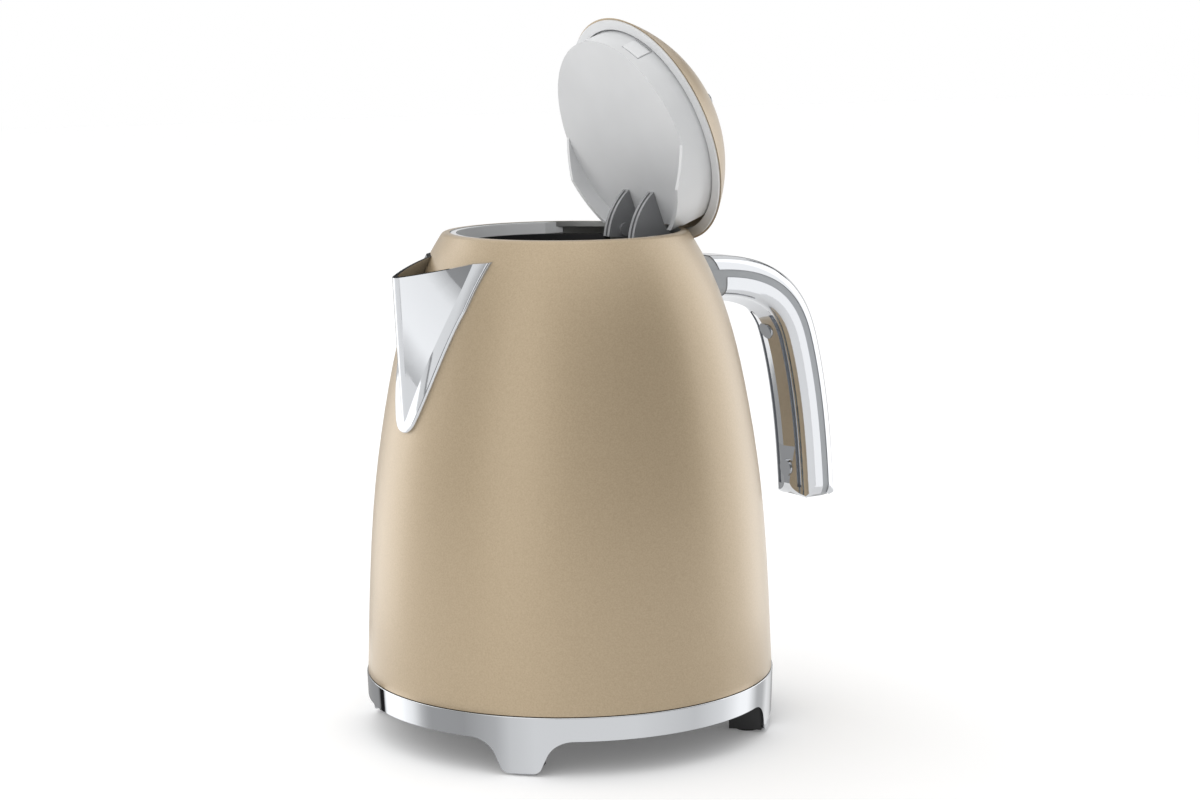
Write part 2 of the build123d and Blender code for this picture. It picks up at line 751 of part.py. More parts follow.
def bottom_cover():
    cover = rod(BOTTOM_R, cover_low(), cover_top())
    half = COVER_FOOT_W / 2
    cover += tube(COVER_FOOT_R + half, COVER_FOOT_R - half, DECK_TOP, cover_low() + LAP)
    cover -= rod(socket_radius() + FIT, 0, cover_top() + PAST)
    hole = rod(SCREW_R + FIT, 0, cover_top() + PAST, STUD_AT)
    hole += rod(SCREW_HEAD_R + FIT, 0, cover_low() + SCREW_HEAD_T, STUD_AT)
    return cover - around(hole, STUD_TURNS)


def bottom_screws():
    screw = rod(SCREW_R, cover_low(), cover_low() + STUD_SCREW_LEN, STUD_AT)
    screw += rod(SCREW_HEAD_R, cover_low(), cover_low() + SCREW_HEAD_T, STUD_AT)
    return Compound(children=around(screw, STUD_TURNS))


def steam_tube():
    pipe = rod(TUBE_R, h(TUBE_LOW), h(TUBE_TOP), TUBE_X, TUBE_Y)
    top = PLATE_Z + PLATE_T
    pipe += rod(TUBE_R + TUBE_FLANGE, top, top + PLATE_T, TUBE_X, TUBE_Y)
    return pipe - rod(TUBE_BORE_R, 0, BIG, TUBE_X, TUBE_Y)


# Level window and switch

def level_window():
    pane = layer(0, WALL) & back_box(WINDOW_W, WINDOW_LOW, WINDOW_HIGH, -FIT)
    lap = layer(WALL + FIT, WALL + FRAME_T) & back_box(WINDOW_W, WINDOW_LOW, WINDOW_HIGH, WINDOW_LAP)
    bridge = layer(WALL / 2, WALL + FRAME_T) & back_box(WINDOW_W, WINDOW_LOW, WINDOW_HIGH, -FIT)
    return pane + lap + bridge


def window_frame():
    frame = layer(WALL + FRAME_T + FIT, WALL + 2 * FRAME_T)
    frame &= back_box(WINDOW_W, WINDOW_LOW, WINDOW_HIGH, WINDOW_LAP)
    return frame - back_box(WINDOW_W, WINDOW_LOW, WINDOW_HIGH, -WINDOW_SIGHT)


def switch_housing():
    """Well behind the opening with a bezel on the outside of the wall."""
    well = back_box(SWITCH_W, SWITCH_LOW, SWITCH_HIGH, -FIT) & filled(-BEZEL_T, LAP, LAP)
    well -= box(0, BODY_R - SWITCH_DEEP, -BIG, BIG, 0, BIG)
    bezel = layer(-BEZEL_T, -FIT) & back_box(SWITCH_W, SWITCH_LOW, SWITCH_HIGH, BEZEL_LAP)
    room = back_box(SWITCH_W, SWITCH_LOW, SWITCH_HIGH, -SWITCH_WALL)
    room -= box(0, BODY_R - SWITCH_DEEP + SWITCH_WALL, -BIG, BIG, 0, BIG)
    housing = well + bezel - room
    return housing - rod_y(LEVER_PIN_R + FIT, -BIG, BIG, LEVER_PIN_X, h(LEVER_PIN_H))


def switch_pin():
    half = SWITCH_W / 2 - 2 * FIT
    return rod_y(LEVER_PIN_R, -half, half, LEVER_PIN_X, h(LEVER_PIN_H))


def switch_lever():
    half = LEVER_W / 2
    z = h(LEVER_PIN_H)
    tip = BODY_R + LEVER_OUT
    paddle = box(LEVER_PIN_X, tip, -half, half, z - LEVER_T / 2, z + LEVER_T / 2)
    paddle = fillet(paddle.edges().filter_by(Axis.Y).group_by(Axis.X)[-1], LEVER_T * 0.4)
    tail = box(LEVER_PIN_X - LEVER_IN, LEVER_PIN_X, -half, half, z - LEVER_T / 4, z + LEVER_T / 4)
    lever = paddle + tail + rod_y(LEVER_HUB_R, -half, half, LEVER_PIN_X, z)
    return lever - rod_y(LEVER_PIN_R + RUN, -BIG, BIG, LEVER_PIN_X, z)


# Handle

GRIP_PATH = Spline(*[(x, 0, h(z)) for x, z in GRIP_LINE])


def grip_plane(at):
    """Section plane at a share of the centre line: x away from the body, z along the handle."""
    along = GRIP_PATH % at
    return Plane(origin=GRIP_PATH @ at, x_dir=(-along.Z, 0, along.X), z_dir=along)


def grip_share(height):
    """Share of the centre line at which its outer run is at a height."""
    low, high = 0.3, 1.0
    for _ in range(40):
        mid = (low + high) / 2
        if (GRIP_PATH @ mid).Z > h(height):
            low = mid
        else:
            high = mid
    return low


def grip_section():
    """Whole handle section: rounded bar with a keel on the side toward the body."""
    bar = Pos((GRIP_OUT - GRIP_IN) / 2, 0) * Rectangle(GRIP_OUT + GRIP_IN, GRIP_W)
    bar = fillet(bar.vertices().group_by(Axis.X)[-1], GRIP_ROUND)
    bar = fillet(bar.vertices().group_by(Axis.X)[0], GRIP_BACK_ROUND)
    half = GRIP_W / 2 - GRIP_BACK_ROUND
    back = FIT - GRIP_IN
    keel = Polyline((back, -half), (back, half), (-GRIP_IN - GRIP_KEEL, 0), close=True)
    return bar + make_face(keel)


def swept(section):
    return sweep(grip_plane(0) * section, path=GRIP_PATH)


def band(low, high):
    """Strip of the section plane between two distances from the seam."""
    return Pos((low + high) / 2, 0) * Rectangle(high - low, 4 * GRIP_W)


def grip_trim(inset=0.0):
    """Space above the handle's rounded lower end."""
    low = h(GRIP_END) + inset
    right = (GRIP_PATH @ 1).X
    end_x0 = right - GRIP_IN - GRIP_KEEL - GRIP_END_IN
    end_x1 = right + GRIP_OUT - GRIP_END_OUT - inset
    side = Pos((end_x0 + end_x1) / 2, low + BIG / 2) * RectangleRounded(end_x1 - end_x0, BIG, GRIP_END_ROUND)
    upper = Pos(0, low + BIG / 2 + 3 * GRIP_END_ROUND) * Rectangle(2 * BIG, BIG)
    ends = Pos(0, low + BIG / 2) * RectangleRounded(GRIP_W - 2 * inset, BIG, GRIP_END_ROUND)
    shape = extrude(Plane.XZ * (side + upper), BIG, both=True)
    return shape & extrude(Plane.YZ * ends, BIG, both=True)


def cap_way(height, radius, low, high):
    """Rod square to the handle at a height, from low to high measured away from the body."""
    plane = grip_plane(grip_share(height))
    return plane * (Pos((low + high) / 2, 0, 0) * Rot(0, 90, 0) * Cylinder(radius, high - low))


def grip_shell(section):
    return swept(section - offset(grip_section(), -GRIP_WALL))


def handle_outer_shell():
    shell = grip_shell(grip_section() & band(SEAM_T / 2, BIG))
    return (shell & grip_trim()) - filled(-MOUNT_GAP, PAST, PAST)


def handle_inner_shell():
    shell = grip_shell(grip_section() & band(-BIG, -SEAM_T / 2))
    part_path = GRIP_PATH.trim(GROOVE_FROM, GROOVE_TO)
    for side in (-1, 1):
        cut = Pos(-GRIP_IN - GRIP_KEEL, side * GROOVE_AT) * Rectangle(2 * (GRIP_KEEL + GROOVE_D), GROOVE_W)
        cut &= band(-BIG, GROOVE_D - GRIP_IN)
        shell -= sweep(grip_plane(GROOVE_FROM) * cut, path=part_path)
    for height in (CAP_UPPER, CAP_LOWER):
        shell -= cap_way(height, CAP_R + FIT, -BIG / 4, -GRIP_IN - GRIP_KEEL + CAP_T + FIT)
        shell -= cap_way(height, GRIP_SCREW_R + FIT, -BIG / 4, 0)
    return (shell & grip_trim()) - box(0, MOUNT_X, -BIG, BIG, 0, BIG)


def handle_core():
    inner = offset(grip_section(), -GRIP_WALL - FIT)
    seam = offset(grip_section(), -SEAM_INSET) & band(-SEAM_T / 2 + FIT, SEAM_T / 2 - FIT)
    core = swept(inner + seam) & grip_trim(SEAM_INSET)
    for height in (CAP_UPPER, CAP_LOWER):
        core -= cap_way(height, GRIP_SCREW_R + FIT, -BIG / 4, GRIP_SCREW_LEN - GRIP_IN + SEAT)
    over = swept(band(0, BIG / 4) & offset(grip_section(), -SEAM_INSET))
    under = swept(band(-BIG / 4, 0) & offset(grip_section(), -SEAM_INSET))
    core += over & filled(FIT - MOUNT_GAP, PAST, PAST)
    core += under & box(0, MOUNT_X - FIT, -BIG, BIG, 0, BIG)
    for y in (-BRACKET_SCREW_Y, BRACKET_SCREW_Y):
        core -= rod_x(BRACKET_SCREW_R + FIT, 0, bracket_screw_end() + SEAT, y, h(BRACKET_SCREW_H))
    return core - filled(-FIT, PAST, PAST)


def handle_screws():
    screws = []
    for height in (CAP_UPPER, CAP_LOWER):
        low = CAP_T + 2 * FIT - GRIP_IN - GRIP_KEEL
        screws.append(cap_way(height, GRIP_SCREW_R, low, GRIP_SCREW_LEN - GRIP_IN))
    return Compound(children=screws)


def screw_caps():
    caps = []
    for height in (CAP_UPPER, CAP_LOWER):
        low = -GRIP_IN - GRIP_KEEL
        caps.append(cap_way(height, CAP_R, low, low + CAP_T))
    return Compound(children=caps)


def bracket_screw_start():
    radius = inside_radius(BRACKET_SCREW_H, WALL + BRACKET_T)
    return sqrt(radius ** 2 - BRACKET_SCREW_Y ** 2) - BRACKET_FLAT


def bracket_screw_end():
    return bracket_screw_start() + BRACKET_SCREW_LEN


def handle_bracket():
    plate = layer(WALL + FIT, WALL + BRACKET_T)
    plate &= back_box(BRACKET_W, BRACKET_LOW, BRACKET_HIGH)
    for y in (-BRACKET_SCREW_Y, BRACKET_SCREW_Y):
        plate -= rod_x(BRACKET_SCREW_R + FIT, 0, BIG, y, h(BRACKET_SCREW_H))
        plate -= rod_x(BRACKET_HEAD_R + FIT, 0, bracket_screw_start() + FIT, y, h(BRACKET_SCREW_H))
    return plate


def bracket_screws():
    screws = []
    start = bracket_screw_start()
    for y in (-BRACKET_SCREW_Y, BRACKET_SCREW_Y):
        screw = rod_x(BRACKET_SCREW_R, start - LAP, bracket_screw_end(), y, h(BRACKET_SCREW_H))
        screws.append(screw + rod_x(BRACKET_HEAD_R, start - BRACKET_HEAD_T, start, y, h(BRACKET_SCREW_H)))
    return Compound(children=screws)


# Lid, drawn shut and then swung open on its pin

def swung(shape):
    return shape.rotate(Axis((HINGE_X, 0, HINGE_Z), (0, 1, 0)), LID_OPEN)


def lid_z(height):
    return LID_Z + height


def dome(radius, lift, height):
    """Solid cap of a sphere with the given edge radius and height."""
    ball = (radius * radius + height * height) / (2 * height)
    cap = Pos(0, 0, lid_z(lift) + height - ball) * Sphere(ball)
    return cap & rod(BIG / 2, lid_z(lift), lid_z(lift) + height + PAST)


def dome_room():
    """Space under the dome, the cap of a sphere smaller by the wall."""
    ball = (DOME_R * DOME_R + DOME_H * DOME_H) / (2 * DOME_H)
    return Pos(0, 0, lid_z(DOME_LIFT) + DOME_H - ball) * Sphere(ball - DOME_WALL)


def lid_cover():
    cover = dome(DOME_R, DOME_LIFT, DOME_H) - dome_room()
    return swung(cover - rod(KNOB_SCREW_R + FIT, 0, BIG))


def lid_ring():
    inner = DRUM_R + LID_RING_GAP
    ring = tube(LID_RING_R, inner, LID_Z, lid_z(LID_STEP_T))
    step = tube(LID_STEP_R, inner, LID_Z, lid_z(LID_RING_T))
    ring += step & (dome_room() + rod(LID_STEP_R, 0, lid_z(DOME_LIFT)))
    return swung(ring)


def drum_outline(inset):
    disc = Circle(DRUM_R - inset)
    return disc & (Pos(DRUM_BACK - inset - BIG / 2, 0) * Rectangle(BIG, BIG))


def drum(inset, low, high):
    return Pos(0, 0, lid_z(low)) * extrude(drum_outline(inset), high - low)


def catch_place(side):
    """Places a catch, drawn with x away from the lid's axis, on the front of the drum."""
    return Rot(0, 0, 180 - side * CATCH_TURN) * Pos(0, 0, lid_z(CATCH_MID))


def catch_block(grow, inner, outer):
    return Pos((inner + outer) / 2, 0, 0) * Box(outer - inner, CATCH_W + 2 * grow, CATCH_H + 2 * grow)


def lid_liner():
    top = LID_RING_T
    cup = drum(0, -DRUM_DEPTH, top + DRUM_FLANGE_T) - drum(DRUM_WALL, DRUM_WALL - DRUM_DEPTH, BIG)
    flange = tube(DRUM_FLANGE_R, DRUM_R - DRUM_WALL, lid_z(top), lid_z(top + DRUM_FLANGE_T))
    cup += flange & box(-BIG, DRUM_BACK, -BIG, BIG, 0, BIG)
    low = lid_z(-WING_DEPTH)
    floor = lid_z(DRUM_WALL - DRUM_DEPTH)
    slope = Polyline((0, 0, lid_z(-DRUM_DEPTH)), (WING_RAMP, 0, low), (WING_END, 0, low),
                     (WING_END, 0, floor), (0, 0, floor), close=True)
    wings = extrude(make_face(slope), BIG / 2, both=True)
    cup += wings & tube(DRUM_R, DRUM_R - DRUM_WALL, low, floor)
    for side in (-1, 1):
        cup -= catch_place(side) * catch_block(SEAT, DRUM_R - 2 * DRUM_WALL, DRUM_R + DRUM_WALL)
    return swung(cup)


def lid_catch(side):
    inner = DRUM_R - DRUM_WALL - SEAT - CATCH_FLANGE_T
    half = CATCH_H / 2
    proud = DRUM_R + CATCH_PROUD
    ridge = turned([(0, -half), (DRUM_R, -half), (proud, CATCH_LEAD - half), (proud, half - CATCH_LEAD),
                    (DRUM_R, half), (0, half)])
    nose = catch_block(0, inner, proud) & ridge
    backing = catch_block(CATCH_FLANGE, inner - CATCH_FLANGE_T, inner)
    return swung(catch_place(side) * (nose + backing))


def arm_outline():
    """Hinge fin in the lid's closed pose, from the hub round its front curve to the liner's floor."""
    x = HINGE_X
    z = HINGE_Z
    floor = lid_z(-DRUM_DEPTH) - FIT
    front = ThreePointArc((x - ARM_TIP, 0, floor), (x - ARM_BELLY_X, 0, z - ARM_BELLY_Z),
                          (x - ARM_HEEL_X, 0, z - ARM_HEEL_Z))
    half = ARM_HUB_R / sqrt(2)
    lower = Line(front @ 1, (x - half, 0, z - half))
    hub = ThreePointArc(lower @ 1, (x + ARM_HUB_R, 0, z), (x - ARM_HUB_R, 0, z))
    upper = Polyline(hub @ 1, (DRUM_BACK, 0, floor), front @ 0)
    return make_face([front, lower, hub, upper])


def hinge_arm(side):
    fin = arm_outline()
    arm = extrude(fin, ARM_T / 2, both=True)
    rim = extrude(fin, ARM_GROOVE_W / 2, both=True)
    rim -= extrude(offset(fin, -ARM_GROOVE_D), ARM_GROOVE_W, both=True)
    arm -= rim & box(0, DRUM_BACK, -BIG, BIG, 0, HINGE_Z - ARM_GROOVE_END)
    arm = Pos(0, side * ARM_AT, 0) * arm
    inner = side * (ARM_AT - ARM_T / 2)
    reach = sorted((inner, inner - side * ARM_BOSS_T))
    out = ARM_BOSS_AT / sqrt(2)
    arm += rod_y(ARM_BOSS_R, reach[0], reach[1], HINGE_X - out, HINGE_Z - out)
    arm -= rod_y(PIN_HINGE_R + RUN, -BIG, BIG, HINGE_X, HINGE_Z)
    return swung(arm)


def knob_z():
    return lid_z(DOME_LIFT + DOME_H + KNOB_NECK_H) + sqrt(KNOB_R ** 2 - KNOB_NECK_R ** 2)


def lid_knob():
    knob = Pos(0, 0, knob_z()) * Sphere(KNOB_R)
    knob += rod(KNOB_NECK_R, lid_z(DOME_LIFT), knob_z()) - dome(DOME_R, DOME_LIFT, DOME_H)
    return swung(knob - rod(KNOB_SCREW_R + FIT, 0, knob_z()))


def knob_screw():
    head_top = lid_z(DOME_LIFT + DOME_H - DOME_WALL) - 2 * FIT
    screw = rod(KNOB_SCREW_R, head_top - LAP, knob_z() - SEAT)
    return swung(screw + rod(KNOB_SCREW_HEAD_R, head_top - SCREW_HEAD_T, head_top))


NODES = {
    "base_ring": base_ring,
    "base_tray": base_tray,
    "base_deck": base_deck,
    "foot_pads": foot_pads,
    "base_screws": base_screws,
    "cord_gland": cord_gland,
    "base_wires": base_wires,
    "base_connector": base_connector,
    "connector_contacts": connector_contacts,
    "body_shell": body_shell,
    "spout": spout,
    "filter_guides": filter_guides,
    "filter_frame": filter_frame,
    "filter_mesh": filter_mesh,
    "mouth_collar": mouth_collar,
    "hinge_pin": hinge_pin,
    "lid_spring": lid_spring,
    "heating_plate": heating_plate,
    "plate_seal": plate_seal,
    "heating_element": heating_element,
    "control_block": control_block,
    "connector_socket": connector_socket,
    "socket_contacts": socket_contacts,
    "bottom_cover": bottom_cover,
    "bottom_screws": bottom_screws,
    "steam_tube": steam_tube,
    "level_window": level_window,
    "window_frame": window_frame,
    "switch_housing": switch_housing,
    "switch_pin": switch_pin,
    "switch_lever": switch_lever,
    "handle_outer_shell": handle_outer_shell,
    "handle_inner_shell": handle_inner_shell,
    "handle_core": handle_core,
    "handle_screws": handle_screws,
    "screw_caps": screw_caps,
    "handle_bracket": handle_bracket,
    "bracket_screws": bracket_screws,
    "lid_cover": lid_cover,
    "lid_ring": lid_ring,
    "lid_liner": lid_liner,
    "lid_knob": lid_knob,
    "knob_screw": knob_screw,
}

os.makedirs("parts", exist_ok=True)
for name, make in NODES.items():
    export_step(make(), f"parts/{name}.step")
for side, word in ((-1, "left"), (1, "right")):
    export_step(hinge_arm(side), f"parts/hinge_arm_{word}.step")
    export_step(lid_catch(side), f"parts/lid_catch_{word}.step")
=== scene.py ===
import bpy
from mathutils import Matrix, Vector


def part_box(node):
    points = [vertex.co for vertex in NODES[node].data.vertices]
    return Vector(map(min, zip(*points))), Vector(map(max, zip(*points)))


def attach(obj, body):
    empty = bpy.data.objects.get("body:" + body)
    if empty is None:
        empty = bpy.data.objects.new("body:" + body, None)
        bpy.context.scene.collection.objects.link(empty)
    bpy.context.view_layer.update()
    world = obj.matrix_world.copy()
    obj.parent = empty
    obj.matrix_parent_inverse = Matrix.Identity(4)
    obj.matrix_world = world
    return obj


bl_info = {
    "name": "Domed Electric Kettle",
    "version": (1, 0, 0),
    "blender": (4, 5, 0),
    "location": "View3D > Sidebar > Kettle",
    "description": "Finishes and fine detail for a domed electric kettle on its power base",
    "category": "Object",
}

import math

import bmesh
import bpy
from bpy.props import FloatProperty, FloatVectorProperty, IntProperty, PointerProperty
from mathutils import Matrix, Vector

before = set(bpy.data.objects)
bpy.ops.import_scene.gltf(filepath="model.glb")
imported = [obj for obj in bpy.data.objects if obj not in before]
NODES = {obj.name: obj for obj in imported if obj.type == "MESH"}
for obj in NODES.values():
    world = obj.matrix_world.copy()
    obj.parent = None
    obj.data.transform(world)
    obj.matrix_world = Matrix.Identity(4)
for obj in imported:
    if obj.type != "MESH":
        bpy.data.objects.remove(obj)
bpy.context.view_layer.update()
MM = 0.001
LACQUER_METAL = 0.55
OUTSIDE = 20 * MM  # how far off the part a ray starts
MELT = 0.002 * MM  # corners nearer than this are one corner
INWARD = -0.02  # below this a wall faces the kettle's axis
WIRE_HALF = 0.6 * MM  # half the width of the middle wire's colour
LIP_BLEND = 0.3 * MM  # height over which the collar's pale lip fades into the black painted shade below it

# Curved cards that show only as reflections: name, distance from the axis, lower and upper edge in metres,
# the studio brightness it takes, and its share of that at each side, in degrees from the camera
CARDS = (
    ("front_screen", 1.8, 0.0, 1.5, "front",
     ((-100, 1.0), (-75, 0.85), (-41, 1.2), (0, 1.0), (40, 0.65), (75, 0.5), (100, 0.7))),
    ("flange_card", 1.5, 0.3, 1.8, "bounce",
     ((-98, 0.8), (-86, 0.75), (-80, 0.5), (-74, 0.05), (-70, 0.05))),
    ("left_streak", 1.5, 0.0, 2.0, "bounce", ((-47, 1.0), (-35, 1.0))),
    ("left_bounce", 0.55, 0.0, 1.6, "bounce", ((-48, 0.5), (-40, 1.0), (-20, 0.9), (-8, 0.5))),
    ("left_edge", 0.3, 0.0, 0.3, "bounce", ((-125, 1.3), (-95, 1.3))),
    ("right_edge", 0.25, 0.0, 0.5, "bounce", ((78, 1.0), (98, 1.0), (104, 1.3), (126, 1.3))),
    ("left_flag", 1.2, 0.0, 1.0, "flag", ((-150, 1.0), (-142, 1.0))),
    ("right_flag", 1.2, 0.0, 1.0, "flag", ((142, 1.0), (150, 1.0))),
    ("rear_flag", 1.2, 0.50, 0.68, "flag", ((105, 1.0), (255, 1.0))),
    ("rear_veil", 0.9, 0.0, 0.45, "veil", ((110, 1.0), (250, 1.0))),
    ("grip_shade", 0.2, 0.0, 0.24, "front", ((175, 1.0), (230, 1.0))),
    ("base_strip", 0.089, 0.0, 0.0245, "strip",
     ((-110, 0.4), (-72, 0.4), (-70.8, 0.02), (-66.9, 0.02), (-65.9, 1.7), (-56, 1.7),
      (-50, 1.3), (-46, 0.7), (-43, 0.5), (-31, 0.48), (-21, 0.68), (-17, 0.9), (-10, 1.03), (18, 1.03),
      (37, 0.85), (48, 1.1), (56, 1.5), (61, 1.5), (68, 0.64), (73, 0.64), (79, 1.05), (86, 0.8),
      (92, 0.4), (110, 0.4))),
)
CARD_STEPS = 48

# Soft boxes: name, side in degrees from the camera, distance, height and size in metres, power in watts
LAMPS = (
    ("left_softbox", -125, 1.5, 0.6, 1.1, 4.5),
    ("right_softbox", 125, 1.5, 0.6, 1.1, 0.8),
    ("overhead_softbox", 0, 0.3, 1.7, 1.4, 3.0),
)
LAMP_AIM = Vector((0, 0, 0.12))
FLOOR_HALF = 6.0


def linear(hex_colour):
    """Linear colour of an sRGB hex value."""
    channels = [int(hex_colour[i:i + 2], 16) / 255 for i in (1, 3, 5)]
    return [c / 12.92 if c <= 0.04045 else ((c + 0.055) / 1.055) ** 2.4 for c in channels]


def per_mm(size):
    """Texture scale at which one feature is this many millimetres across."""
    return 1000.0 / size


def colour_prop(name, description, hex_colour):
    return FloatVectorProperty(name=name, description=description, subtype="COLOR", size=3, min=0, max=1,
                               default=linear(hex_colour))


def length_prop(name, description, millimetres):
    return FloatProperty(name=name, description=description, unit="LENGTH", precision=4,
                         default=millimetres * MM)


class KettleFinishes(bpy.types.PropertyGroup):
    lacquer: colour_prop("Lacquer", "Champagne metallic lacquer of the body and dome", "#B6A386")
    lacquer_deep: colour_prop("Lacquer, deep", "Darker flakes in the lacquer", "#AA977A")
    chrome: colour_prop("Chrome", "Plated spout, handle and base ring", "#C9CBCE")
    pale_grey: colour_prop("Pale grey", "Moulded rim of the lid", "#D9DADB")
    liner_grey: colour_prop("Liner grey", "Moulded underside of the lid", "#D2D3D4")
    collar_grey: colour_prop("Collar grey", "Moulded lip of the collar in the mouth", "#E2E3E4")
    dark_grey: colour_prop("Dark grey", "Hinge fins, filter rails and window frame", "#858688")
    seam_grey: colour_prop("Seam grey", "Moulded core that shows between the handle's two shells", "#A3A7AB")
    # black is also the painted shade on the collar below its lip
    black: colour_prop("Black", "Moulded underside and inner fittings", "#1B1B1C")
    rubber: colour_prop("Rubber", "Feet, gland and seal", "#262627")
    steel: colour_prop("Steel", "Stainless inner wall, plate and fixings", "#B9B9B7")
    brass: colour_prop("Brass", "Contacts", "#C9A14A")
    clear: colour_prop("Clear", "Level window", "#DDE4E6")


class KettleDetails(bpy.types.PropertyGroup):
    lip: length_prop("Collar lip", "Height of the pale lip on top of the collar", 4.6)
    mark_count: IntProperty(name="Marks", description="Lines printed on the level window", default=8,
                            min=2, max=16)
    mark_long: length_prop("Long mark", "Length of every other line", 6.0)
    mark_short: length_prop("Short mark", "Length of the lines between", 3.6)
    mark_thick: length_prop("Mark width", "Width of a line", 0.7)
    mark_relief: length_prop("Mark relief", "Thickness of the printed ink", 0.12)
    mark_margin: FloatProperty(name="Margin", description="Share of the window left bare at each end",
                               default=0.14, min=0, max=0.5)
    drive_long: length_prop("Drive length", "Length of a screw's cross drive", 2.8)
    drive_wide: length_prop("Drive width", "Width of each arm of the cross", 0.6)
    drive_deep: length_prop("Drive relief", "Height of the cross over the screw's head", 0.04)


class KettleStudio(bpy.types.PropertyGroup):
    lens: FloatProperty(name="Lens", description="Focal length in millimetres", default=75.54, min=20,
                        max=200)
    eye: FloatVectorProperty(name="Camera", description="Place of the camera", subtype="XYZ", unit="LENGTH",
                             size=3, default=(-0.5448, -0.8890, 0.2957))
    turn: FloatProperty(name="Azimuth", description="Side that the camera stands on", subtype="ANGLE",
                        default=math.radians(-31.5))
    yaw: FloatProperty(name="Yaw", description="Camera's turn away from the axis", subtype="ANGLE",
                       default=math.radians(0.757))
    pitch: FloatProperty(name="Pitch", description="Camera's tilt downward", subtype="ANGLE",
                         default=math.radians(8.644))
    roll: FloatProperty(name="Roll", description="Camera's lean", subtype="ANGLE",
                        default=math.radians(-0.529))
    ambient: FloatProperty(name="Ambient", description="Soft light from all round", default=0.94, min=0,
                           max=2)
    lean: FloatProperty(name="Lean", description="How much brighter that light is from the picture's left",
                        default=0.35, min=0, max=0.9)
    floor_glow: FloatProperty(name="Floor glow", description="Lift that turns the lit floor white",
                              default=0.12, min=0, max=1)
    front: FloatProperty(name="Front screen", description="Brightness of the grey screen round the camera",
                         default=0.42, min=0, max=1)
    bounce: FloatProperty(name="Bounce cards", description="Brightness of the white cards beside the kettle",
                          default=1.45, min=0, max=3)
    veil: FloatProperty(name="Veil", description="Brightness of the pale screen behind the kettle",
                        default=0.82, min=0, max=1)
    strip: FloatProperty(name="Base strip", description="Brightness of the strip that the base ring mirrors",
                         default=1.0, min=0, max=3)
    flag: FloatProperty(name="Flags", description="Brightness of the dark cards that bright metal mirrors",
                        default=0.02, min=0, max=1)


def add(tree, kind, inputs=None, **settings):
    """Adds a node, sets it up and feeds its inputs with values or with other nodes' outputs."""
    node = tree.nodes.new(kind)
    for key, value in settings.items():
        setattr(node, key, value)
    for key, value in (inputs or {}).items():
        if isinstance(value, bpy.types.NodeSocket):
            tree.links.new(value, node.inputs[key])
        else:
            node.inputs[key].default_value = value
    return node


def start_material(name):
    material = bpy.data.materials.new(name)
    material.use_nodes = True
    material.node_tree.nodes.clear()
    return material, material.node_tree


def rgba(colour):
    return (*colour, 1.0)


def wear(names, material):
    """Gives CAD nodes one material."""
    for name in names:
        mesh = NODES[name].data
        mesh.materials.clear()
        mesh.materials.append(material)


# Finishes


def champagne_lacquer(look, steel_inside):
    """Metallic lacquer, sprayed on pressed steel and left matt: fine flakes and a slight orange peel.
    Flakes are drawn coarser than real ones so that they show. The inner wall is bare stainless steel."""
    material, tree = start_material("champagne_lacquer_lined" if steel_inside else "champagne_lacquer")
    coords = add(tree, "ShaderNodeTexCoord")
    place = coords.outputs["Object"]
    flake = add(tree, "ShaderNodeTexNoise", {"Vector": place, "Scale": per_mm(0.6), "Detail": 2.0})
    share = add(tree, "ShaderNodeMapRange", {"Value": flake.outputs["Fac"], "From Min": 0.3, "From Max": 0.7})
    colour = add(tree, "ShaderNodeMix", {
        0: share.outputs[0], 6: rgba(look.lacquer_deep), 7: rgba(look.lacquer)}, data_type="RGBA").outputs[2]
    rough = add(tree, "ShaderNodeMapRange", {
        "Value": flake.outputs["Fac"], "To Min": 0.42, "To Max": 0.52}).outputs[0]
    metal = LACQUER_METAL
    if steel_inside:
        flat = add(tree, "ShaderNodeVectorMath", {0: place, 1: (1, 1, 0)}, operation="MULTIPLY")
        facing = add(tree, "ShaderNodeVectorMath", {0: flat.outputs[0], 1: coords.outputs["Normal"]},
                     operation="DOT_PRODUCT")
        inner = add(tree, "ShaderNodeMath", {0: facing.outputs["Value"], 1: INWARD},
                    operation="LESS_THAN").outputs[0]
        colour = add(tree, "ShaderNodeMix", {0: inner, 6: colour, 7: rgba(look.steel)},
                     data_type="RGBA").outputs[2]
        rough = add(tree, "ShaderNodeMix", {0: inner, 2: rough, 3: 0.28}, data_type="FLOAT").outputs[0]
        metal = add(tree, "ShaderNodeMapRange", {
            "Value": inner, "To Min": LACQUER_METAL, "To Max": 1.0}).outputs[0]
    peel = add(tree, "ShaderNodeTexNoise", {"Vector": place, "Scale": per_mm(1.8), "Detail": 1.0})
    bump = add(tree, "ShaderNodeBump", {"Height": peel.outputs["Fac"], "Strength": 0.05, "Distance": 0.0002})
    shader = add(tree, "ShaderNodeBsdfPrincipled", {
        "Base Color": colour, "Roughness": rough, "Metallic": metal,
        "Coat Weight": 0.8, "Coat Roughness": 0.3, "Normal": bump.outputs[0]})
    add(tree, "ShaderNodeOutputMaterial", {"Surface": shader.outputs[0]})
    return material


